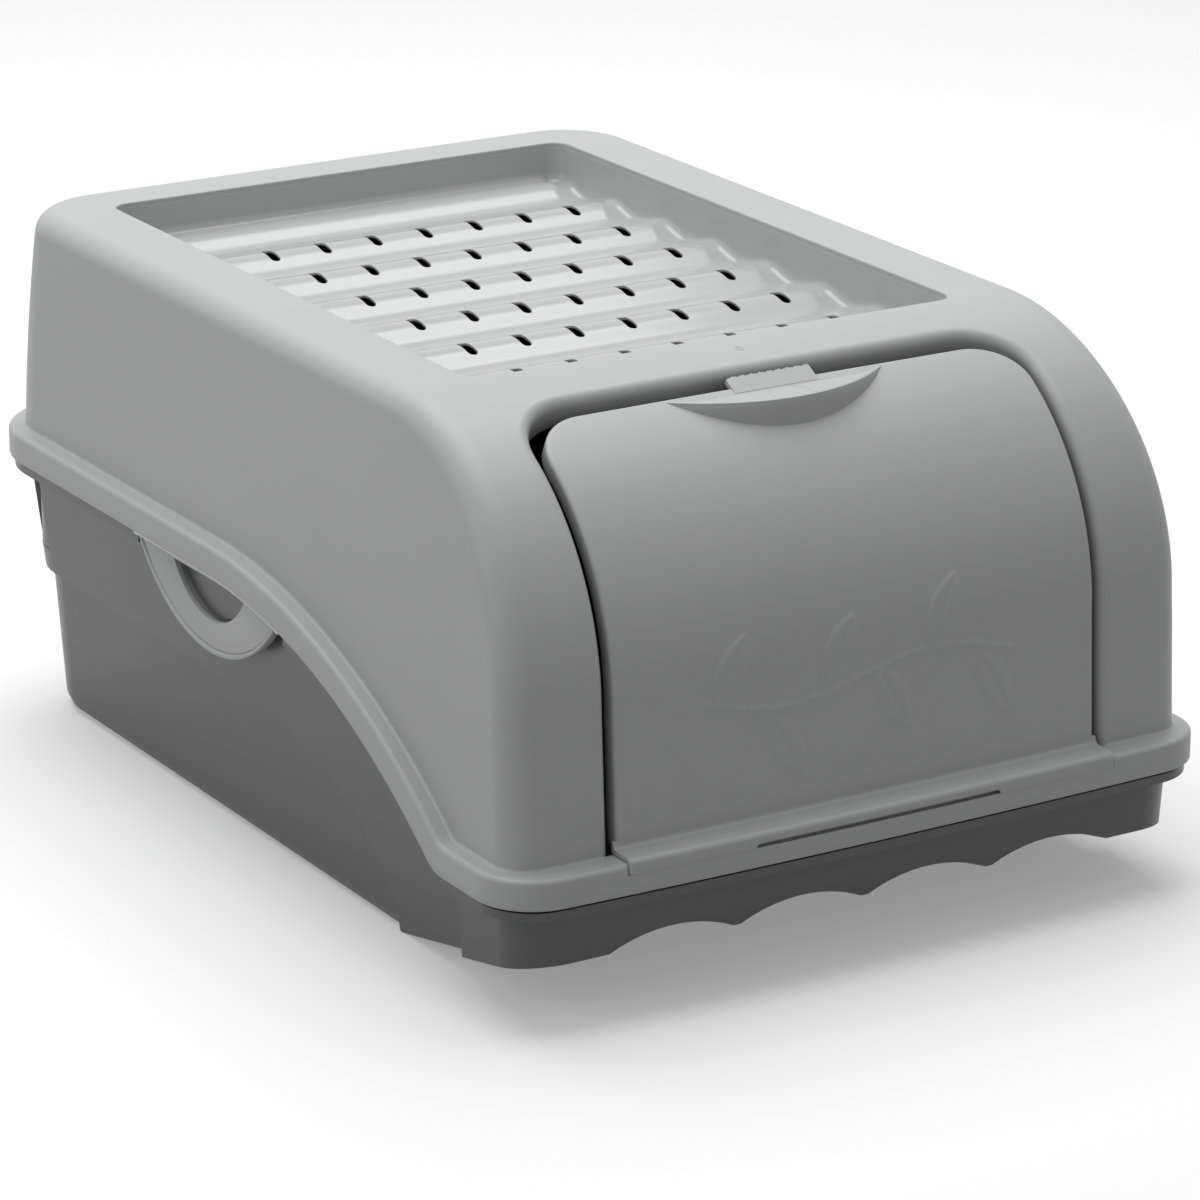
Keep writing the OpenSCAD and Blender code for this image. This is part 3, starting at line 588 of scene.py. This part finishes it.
def vent_slots(p):
    """Positive inside a vent slot: half its width less the distance from its straight middle line."""
    dx = np.abs(p[:, :1] - HOLE_X).min(1)
    dy = np.abs(p[:, 1:2] - HOLE_Y).min(1)
    return HOLE_W / 2 - np.hypot(dx, np.maximum(dy - (HOLE_L - HOLE_W) / 2, 0))


def tray_cut(p):
    """Positive where the sheet is open: inside a vent slot or over the top of the walls."""
    return np.maximum(vent_slots(p), p[:, 2] - TRAY_TOP)


def graded(stops, half, fine, coarse, end, ends):
    """Grid lines that are close over the slots, wider between them, and even out to both ends."""
    parts = [np.linspace(-end, stops[0] - half, ends, endpoint=False)]
    for i, stop in enumerate(stops):
        parts.append(np.linspace(stop - half, stop + half, fine))
        if i < len(stops) - 1:
            parts.append(np.linspace(stop + half, stops[i + 1] - half, coarse + 2)[1:-1])
    return np.concatenate(parts + [np.linspace(end, stops[-1] + half, ends, endpoint=False)[::-1]])


# a square grid over the tray, bent so that what lies outside the core runs round the corners and up the walls
core_x, core_y = VENT_HALF - VENT_R, RECESS_LONG - VENT_R
wide = graded(HOLE_X, half=3.2, fine=13, coarse=7, end=core_x + VENT_R + CLIMB, ends=29)
deep = graded(HOLE_Y[::-1] - RECESS_Y, half=7.2, fine=17, coarse=11, end=core_y + VENT_R + CLIMB, ends=36)
gx, gy = np.meshgrid(wide, deep, indexing="ij")
rx, ry = np.maximum(np.abs(gx) - core_x, 0), np.maximum(np.abs(gy) - core_y, 0)
turn_x = math.pi / 4 * ry / np.maximum(rx, TINY)
turn_y = math.pi / 2 - math.pi / 4 * rx / np.maximum(ry, TINY)
turn = np.where(rx >= ry, turn_x, turn_y)
away = np.maximum(rx, ry)
plan = np.minimum(away, VENT_R - INNERMOST)
px = np.sign(gx) * (np.minimum(np.abs(gx), core_x) + plan * np.cos(turn))
py = RECESS_Y + np.sign(gy) * (np.minimum(np.abs(gy), core_y) + plan * np.sin(turn))
guess = np.stack([px, py, recess_floor(px, py) + CLIMB_STEEP * np.maximum(away - VENT_R, 0)], 2)
# the thin sheet's edge bulges a little, from its upper to its lower side
cut_edge = [(0, 0), (0.1, 0.03), (0.15, 0.15), (0.15, 0.5), (0.15, 0.85), (0.1, 0.97), (0, 1)]
vent_plastic = plastic("polished_grey_polypropylene", VENT_COLOUR, VENT_ROUGH, VENT_GRAIN, VENT_GRAIN_DEPTH,
                       VENT_DRIFT)
tray = make_piece("vent_insert", *moulded_wall(tray_surface, guess, False, tray_cut, TRAY_T, cut_edge))
tray.data.materials.append(vent_plastic)
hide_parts("vent_tray")
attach(tray, "hood")

# ---------------------------------------------------------------- front flap
# The hatch follows the hood's front a little below its surface and closes flush over a film hinge at its
# foot. Its edges turn inwards, and a vine with six leaves stands on it in low relief.
FLAP_HALF, FLAP_R, FLAP_EDGE, FLAP_RETURN, FLAP_FOOT = 98.0, 20.0, 1.4, 6.0, 58.4
FLAP_LONG, FLAP_COLUMNS, FLAP_ROWS, FLAP_INSET = 158, 181, 146, 0.4
RELIEF, RELIEF_SLOPE, MIDRIB = 0.4, 2.2, 0.8
STEM_Z, STEM_SWAY, STEM_WAVE, STEM_FROM, STEM_TO = 100.0, 5, 19, -64.0, 68.0
LEAF_X, LEAF_OFF, LEAF_TILT, LEAF_L, LEAF_W = (-52, -31, -9, 13, 34, 55), 13, 62, 27.0, 11.0


def stem_line(x):
    """Height of the stem along the flap's face: a sine wave about its level."""
    return STEM_Z + STEM_SWAY * np.sin(x / STEM_WAVE)


def leaf_relief(p):
    """Height of the vine: a stem, and leaves where two circles overlap, with a groove as midrib."""
    x, y, z = p.T
    along = np.where(z < BROW_Z, z, BROW_Z + BROW_R * np.arctan2(z - BROW_Z, BROW_Y - y))
    height = np.zeros(len(p))
    radius = (LEAF_L**2 + LEAF_W**2) / (4 * LEAF_W)
    for i, leaf_x in enumerate(LEAF_X):
        side = 1 - 2 * (i % 2)
        tilt = math.radians(LEAF_TILT * side)
        across, over = x - leaf_x, along - (stem_line(leaf_x) + side * LEAF_OFF)
        u = across * math.cos(tilt) + over * math.sin(tilt)
        v = np.abs(over * math.cos(tilt) - across * math.sin(tilt))
        edge = radius - np.hypot(u, v + radius - LEAF_W / 2)
        rib = 0.7 * np.exp(-((v / MIDRIB) ** 2)) * np.clip((LEAF_L * 0.44 - np.abs(u)) / 2, 0, 1)
        body = np.clip(edge / RELIEF_SLOPE + 0.5, 0, 1)
        height = np.maximum(height, body**2 * (3 - 2 * body) * (1 - rib))
    stem = np.clip((1.0 - np.abs(along - stem_line(x))) / 2.0 + 0.5, 0, 1)
    stem = stem * np.clip((x - STEM_FROM) / 3, 0, 1) * np.clip((STEM_TO - x) / 3, 0, 1)
    return RELIEF * np.maximum(height, stem)


def flap_face(p):
    """Signed distance from the flap's face: the hood's side profile sunk a little, raised by the relief."""
    return front_view(*p.T) + FLAP_SINK - leaf_relief(p)


def flap_cut(p):
    """Positive outside the flap: its opening's outline made narrower and lower, less the turned edge."""
    return -flap_opening(p, FLAP_HALF - FLAP_EDGE, -FLAP_EDGE, FLAP_R - FLAP_EDGE)


columns = np.linspace(-FLAP_HALF + FLAP_INSET, FLAP_HALF - FLAP_INSET, FLAP_COLUMNS)
across, s = np.meshgrid(columns, np.linspace(0, FLAP_LONG, FLAP_ROWS), indexing="ij")
straight = BROW_Z - FLAP_FOOT
phi = np.maximum(s - straight, 0) / BROW_R
gz = np.where(s < straight, FLAP_FOOT + s, BROW_Z + (BROW_R - FLAP_SINK) * np.sin(phi))
face_y = BROW_Y - BROW_R - FACE_LEAN * (1 - s / straight)
gy = np.where(s < straight, face_y, BROW_Y - (BROW_R - FLAP_SINK) * np.cos(phi))
turned = quarter_arc(FLAP_EDGE, FLAP_EDGE) + [(FLAP_EDGE, FLAP_RETURN), (0.0, FLAP_RETURN), (0.0, WALL)]
guess = np.stack([across, gy, gz], 2)
flap = make_piece("flap_panel", *moulded_wall(flap_face, guess, False, flap_cut, WALL, turned))
flap.data.materials.append(hood_plastic)
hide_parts("front_flap")
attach(flap, "flap")

# ---------------------------------------------------------------- flap lip
# The flap's foot runs out over the rim's shelf and turns down in front of the skirt. A long relief slit
# under it leaves the thin strip that bends as the hinge.
LIP_HALF, LIP_PROUD, LIP_T, LIP_ROUND, LIP_LOW, LIP_HIGH, SEAT = 99.1, 0.8, 1.5, 2.0, 51.9, 57.3, 55.8
LIP_FILLET, LIP_TUCK, END_ROUND, END_SET = 1.5, 2.6, 1.5, 0.8
SLIT_HALF, SLIT_H = 50.0, 1.5

left_xs = [np.linspace(-LIP_HALF, -LIP_HALF + END_ROUND, 6), np.linspace(-96, -51, 22)]
left_xs += [np.linspace(-50, -48.4, 9), np.linspace(-47, 0, 22)]
xs = np.concatenate(left_xs)
xs = np.concatenate([xs, -xs[-2::-1]])
slit_end = np.maximum(np.abs(xs) - SLIT_HALF + SLIT_H, 0) / SLIT_H
edge_z = LIP_LOW + SLIT_H * np.sqrt(np.clip(1 - slit_end**2, 0, 1))
end_share = np.clip((LIP_HALF - np.abs(xs)) / END_ROUND, 0, 1)
end_round = END_SET * (1 - np.sqrt(1 - (1 - end_share) ** 2))


def slab(front, rear):
    """A closed body between two grids of points of the same size, joined along all four edges."""
    n, m = front.shape[:2]
    quads = lattice(n, m)
    first, last = np.arange(m), (n - 1) * m + np.arange(m - 2, -1, -1)
    ring = np.concatenate([first, np.arange(1, n) * m + m - 1, last, np.arange(n - 2, 0, -1) * m])
    after = np.roll(ring, -1)
    sides = np.stack([ring, after, after + n * m, ring + n * m], 1)
    return np.concatenate([front.reshape(-1, 3), rear.reshape(-1, 3)]), [quads, quads[:, ::-1] + n * m, sides]


def lip_row(proud, z):
    """A row of points across the bin, in front of the skirt's bowed face, less the rounded ends."""
    y = BOW_Y - np.sqrt((BOW_R + proud - end_round) ** 2 - xs**2)
    return np.stack([xs, y, np.broadcast_to(z, xs.shape)], 1)


def lip_root(forward, z):
    """A row of points at a distance in front of the flap's face near its foot."""
    y = BROW_Y - BROW_R - FACE_LEAN * (BROW_Z - z) / (BROW_Z - FOOT_Z) - bow(xs) + FLAP_SINK - forward
    return np.stack([xs, y, np.full(xs.shape, float(z))], 1)


# rows from the flap's face over the shelf and down to the slit, and the same rows on the hidden side
inner = LIP_PROUD - LIP_T
top = [lip_root(-0.25, LIP_HIGH + LIP_TUCK), lip_root(0.05, LIP_HIGH + LIP_FILLET)]
for a in quarter[1:]:
    top.append(lip_root(LIP_FILLET * (1 - math.cos(a)), LIP_HIGH + LIP_FILLET * (1 - math.sin(a))))
for a in quarter:
    top.append(lip_row(LIP_PROUD - LIP_ROUND * (1 - math.sin(a)), LIP_HIGH - LIP_ROUND * (1 - math.cos(a))))
for back_by, up_by in ((0.0, 0.5), (0.12, 0.12), (0.5, 0.0)):
    top.append(lip_row(LIP_PROUD - back_by, edge_z + up_by))
under = [lip_root(-1.5, LIP_HIGH + LIP_TUCK)] * 2 + [lip_root(-1.2, SEAT)] * (len(quarter) - 1)
under += [lip_row(inner, SEAT)] * (len(quarter) - 1) + [lip_row(inner, SEAT - 0.2)]
under += [lip_row(inner, edge_z + 0.7), lip_row(inner, edge_z + 0.4), lip_row(inner + 0.2, edge_z + 0.1)]
flap_lip = make_piece("flap_lip", *slab(np.stack(top, 1), np.stack(under, 1)), crease=40)
flap_lip.data.materials.append(hood_plastic)
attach(flap_lip, "flap")

# ---------------------------------------------------------------- flap grip and tongue
# A crescent ledge moulded on the flap's top edge gives the fingers a hold. A rounded bead edges it, an
# ejector pin left its ring on the ledge, and a short tongue behind it snaps under the hood.
GRIP_R, GRIP_HALF, GRIP_FRONT, GRIP_BACK, TIP_FADE = 64.96, 45.2, -155.85, -137.4, 6
LEDGE, LEDGE_T, LEDGE_EDGE, LEDGE_SINK = 188.7, 1.6, 0.9, 1.4
BEAD_W, BEAD_H = 3.2, 1.2
PIN_X, PIN_Y, PIN_R, PIN_WIRE, PIN_SINK = 1.0, -147.0, 7.6, 0.16, 0.02
GATE_Y, GATE_R, GATE_WIRE, GATE_RISE = -115.65, 1.3, 0.28, 0.05
TONGUE_HALF, TONGUE_L, TONGUE_SHORT, TONGUE_TOP, TONGUE_UNDER = 17, 4.3, 0.7, 0.75, -1.0

turn = np.linspace(-1, 1, 97) * math.asin(GRIP_HALF / GRIP_R)
arc = np.stack([GRIP_R * np.sin(turn), GRIP_FRONT + GRIP_R * (1 - np.cos(turn))], 1)
inwards = np.stack([-np.sin(turn), np.cos(turn)], 1)
fit = np.clip(np.maximum(GRIP_BACK - arc[:, 1], 0.0) / TIP_FADE, 0.02, 1)
flap_z = BROW_Z + np.sqrt(np.maximum((BROW_R - FLAP_SINK) ** 2 - (arc[:, 1] - BROW_Y) ** 2, 0))
ledge_z = LEDGE + LEDGE_EDGE * (1 - fit)
half_turn = np.radians(np.arange(0, 181, 22.5))


def grip_row(inset, z, back_share=0.0):
    """A row along the crescent: in from its arc, less so at the tips, and a share of the way to its back."""
    plan = arc + (inset * fit)[:, None] * inwards
    ledge_back = np.stack([arc[:, 0], np.full(len(arc), GRIP_BACK)], 1)
    plan = plan * (1 - back_share) + ledge_back * back_share
    return np.column_stack([plan, np.broadcast_to(z, len(arc))])


# rows from the back of the ledge over the bead and down its front, and the same rows underneath
top = [grip_row(BEAD_W, ledge_z, share) for share in (1.0, 0.75, 0.5, 0.25, 0.08)]
bead = [(BEAD_W / 2 + BEAD_W / 2 * math.cos(a), BEAD_H * math.sin(a)) for a in half_turn[:-2]]
top += [grip_row(inset, ledge_z + height * fit) for inset, height in bead]
edge_low = ledge_z - LEDGE_EDGE
top += [grip_row(0.25, ledge_z - 0.1), grip_row(0.0, edge_low)]
top += [grip_row(0.0, edge_low * (1 - share) + (flap_z - LEDGE_SINK) * share) for share in (0.5, 1.0)]
under = [row - np.array([0, 0, LEDGE_T]) for row in top[:10]]
for row, drop in zip(top[10:], (LEDGE_T, LEDGE_T, LEDGE_T, LEDGE_T / 2, 0.0, 0.0)):
    under.append(np.column_stack([row[:, :2] + (LEDGE_T * fit)[:, None] * inwards, row[:, 2] - drop]))
grip = make_piece("flap_grip", *slab(np.stack(top, 1), np.stack(under, 1)), crease=50)
grip.data.materials.append(hood_plastic)
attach(grip, "flap")


def tube(path, radius, closed, sides=8):
    """A round tube along a path: circles in the plane of its left and up directions, closed or with ends."""
    ahead = unit(np.roll(path, -1, 0) - np.roll(path, 1, 0) if closed else np.gradient(path, axis=0))
    left = unit(np.cross((0.0, 0.0, 1.0), ahead))
    above = np.cross(ahead, left)
    turn = np.linspace(0, 2 * math.pi, sides, endpoint=False)[None, :, None]
    radius = np.broadcast_to(radius, len(path))[:, None, None]
    points = path[:, None] + radius * (np.cos(turn) * left[:, None] + np.sin(turn) * above[:, None])
    faces = [lattice(len(path), sides, closed, True)]
    if not closed:
        faces += [np.arange(sides)[None, ::-1], (len(path) - 1) * sides + np.arange(sides)[None]]
    return points.reshape(-1, 3), faces


turn = np.linspace(0, 2 * math.pi, 64, endpoint=False)
pin_edge = [PIN_X + PIN_R * np.cos(turn), PIN_Y + PIN_R * np.sin(turn), np.full(64, LEDGE - PIN_SINK)]
pin_ring = make_piece("ejector_ring", *tube(np.stack(pin_edge, 1), PIN_WIRE, True), crease=80)
pin_ring.data.materials.append(hood_plastic)
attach(pin_ring, "flap")

turn = np.linspace(0, 2 * math.pi, 24, endpoint=False)
gate_y = GATE_Y + GATE_R * np.sin(turn)
gate_z = BROW_Z + np.sqrt(BROW_R**2 - (gate_y - BROW_Y) ** 2) + GATE_RISE
gate_edge = np.stack([GATE_R * np.cos(turn), gate_y, gate_z], 1)
gate = make_piece("gate_mark", *tube(gate_edge, GATE_WIRE, True), crease=80)
gate.data.materials.append(hood_plastic)
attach(gate, "hood")

# the tongue's end is a little ragged: two waves of different length and a short left corner
tongue_xs = np.linspace(-TONGUE_HALF, TONGUE_HALF, 69)
along_x, out_v = np.meshgrid(tongue_xs, np.linspace(-3.5, 1, 6), indexing="ij")
ragged = TONGUE_L + 0.22 * np.sin(along_x * 1.7) + 0.18 * np.sin(along_x * 3.9 + 1)
ragged = ragged + TONGUE_SHORT * np.clip((along_x + TONGUE_HALF) / 1.6, 0, 1) - TONGUE_SHORT
v = np.where(out_v > 0, out_v * ragged, out_v)
v = np.where(out_v >= 1, ragged - 0.1, v)


def tongue_at(lift):
    """The tongue's points: up the flap's slope from its top edge, lifted square to it."""
    y = FLAP_TOP_Y + v * math.cos(FLAP_TILT) - lift * math.sin(FLAP_TILT)
    z = FLAP_TOP_Z + v * math.sin(FLAP_TILT) + lift * math.cos(FLAP_TILT)
    return np.stack([along_x, y, z], 2)


tongue = make_piece("flap_tongue", *slab(tongue_at(TONGUE_TOP), tongue_at(TONGUE_UNDER)), crease=30)
tongue.data.materials.append(hood_plastic)
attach(tongue, "flap")

# ---------------------------------------------------------------- side latches
# Each latch is a flat loop that swings on a film hinge under the skirt. A rounded bead runs along its outer
# edge, and its eye snaps over a D-shaped lug on the tub. The hinge's paler colour is a painted highlight.
LATCH_Y, LATCH_TOP = 12.3, 103.1
LOOP_R, LOOP_Z, EYE_R, EYE_Z, STRIP = 67.3, 140.2, 32.8, 118.2, 2.2
PLATE_IN, PLATE_OUT, BEAD_OUT, LATCH_BEAD, BEAD_FADE, GROOVE_DEEP = 140.7, 142.9, 143.6, 2.2, 6, 0.35
ARC_POINTS, CHORD_POINTS, THINNEST = 96, 48, 7
HINGE_X, HINGE_HALF, HINGE_DROP, HINGE_WIRE, HINGE_WIRE_MAX = 144.4, 56.5, 0.35, 0.45, 0.6
KNOB_AT, KNOB_W, KNOB_H = 55, 1.2, 0.35
HINGE_HIGHLIGHT_COLOUR, HINGE_HIGHLIGHT_ROUGH, HINGE_HIGHLIGHT_GRAIN, HINGE_HIGHLIGHT_GRAIN_DEPTH = (0.72, 0.722, 0.725), 0.45, 0.0006, 0.00003


def d_shape(radius, centre_z, top_z):
    """A closed outline in y and z: the arc of a circle below a level line, then the line back."""
    half = math.acos((centre_z - top_z) / radius)
    turn = np.linspace(-half, half, ARC_POINTS)
    y = LATCH_Y + radius * np.sin(turn)
    z = centre_z - radius * np.cos(turn)
    share = np.linspace(0, 1, CHORD_POINTS + 2)[1:-1]
    chord = np.stack([y[-1] + (y[0] - y[-1]) * share, np.full(CHORD_POINTS, top_z)], 1)
    return np.concatenate([np.stack([y, z], 1), chord])


# the film hinge's plastic is much paler than the hood's: a painted highlight for the bright line along the
# hinge
hinge_highlight_plastic = plastic("grey_polypropylene_painted_hinge_highlight", HINGE_HIGHLIGHT_COLOUR, HINGE_HIGHLIGHT_ROUGH, HINGE_HIGHLIGHT_GRAIN,
                       HINGE_HIGHLIGHT_GRAIN_DEPTH)
loop = d_shape(LOOP_R, LOOP_Z, LATCH_TOP)
eye = d_shape(EYE_R, EYE_Z, LATCH_TOP - STRIP)
run = eye - loop
reach_in = np.hypot(*run.T)
bead_fit = np.clip((reach_in - STRIP - 1) / BEAD_FADE, 0, 1)
squeeze = np.minimum(1, reach_in / THINNEST)
# in from the loop's edge, out from the middle of the bin, and the share of the bead's height
outer_steps = [(0.25, PLATE_IN, 0), (0.0, PLATE_IN + 0.25, 0), (0.0, PLATE_OUT - 0.3, 0),
               (0.15, PLATE_OUT + 0.1, 0.35), (0.5, PLATE_OUT, 0.9), (LATCH_BEAD / 2, PLATE_OUT, 1.0),
               (LATCH_BEAD - 0.5, PLATE_OUT, 0.9), (LATCH_BEAD - 0.15, PLATE_OUT, 0.4),
               (LATCH_BEAD, PLATE_OUT - GROOVE_DEEP, 0.0), (LATCH_BEAD + 0.5, PLATE_OUT, 0.0)]
eye_steps = [(0.35, PLATE_OUT), (0.08, PLATE_OUT - 0.1), (0.0, PLATE_OUT - 0.35), (0.0, PLATE_IN + 0.25),
             (0.25, PLATE_IN)]
y = np.linspace(LATCH_Y - HINGE_HALF, LATCH_Y + HINGE_HALF, 160)
wander = 0.1 * np.sin(y * 1.1) + 0.07 * np.sin(y * 2.7 + 2) + 0.05 * np.sin(y * 5.3)
hinge_z = np.minimum(rim_edge(y), RIM_BACK_Z) - HINGE_DROP + 0.5 * wander
knob = KNOB_H * np.exp(-(((np.abs(y - LATCH_Y) - KNOB_AT) / KNOB_W) ** 2))
hinge_wire = np.minimum(HINGE_WIRE + wander * 0.6 + knob, HINGE_WIRE_MAX)
for name, body, side in (("latch_left", "left_latch", -1), ("latch_right", "right_latch", 1)):
    rows = []
    for inset, x, bead_share in outer_steps:
        plan = loop + (inset * squeeze / reach_in)[:, None] * run
        rows.append(np.column_stack([side * (x + (BEAD_OUT - PLATE_OUT) * bead_share * bead_fit), plan]))
    for inset, x in eye_steps:
        plan = eye - (inset * squeeze / reach_in)[:, None] * run
        rows.append(np.column_stack([np.full(len(loop), side * x), plan]))
    grid = np.stack(rows, 1)
    latch = make_piece(name + "_loop", grid.reshape(-1, 3), [lattice(*grid.shape[:2], True, True)], crease=35)
    latch.data.materials.append(hood_plastic)
    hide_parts(name)
    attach(latch, body)
    line = np.stack([np.full(y.size, side * HINGE_X), y, hinge_z], 1)
    strip = make_piece(name + "_film_hinge", *tube(line, hinge_wire, False), crease=80)
    strip.data.materials.append(hinge_highlight_plastic)
    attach(strip, "hood")
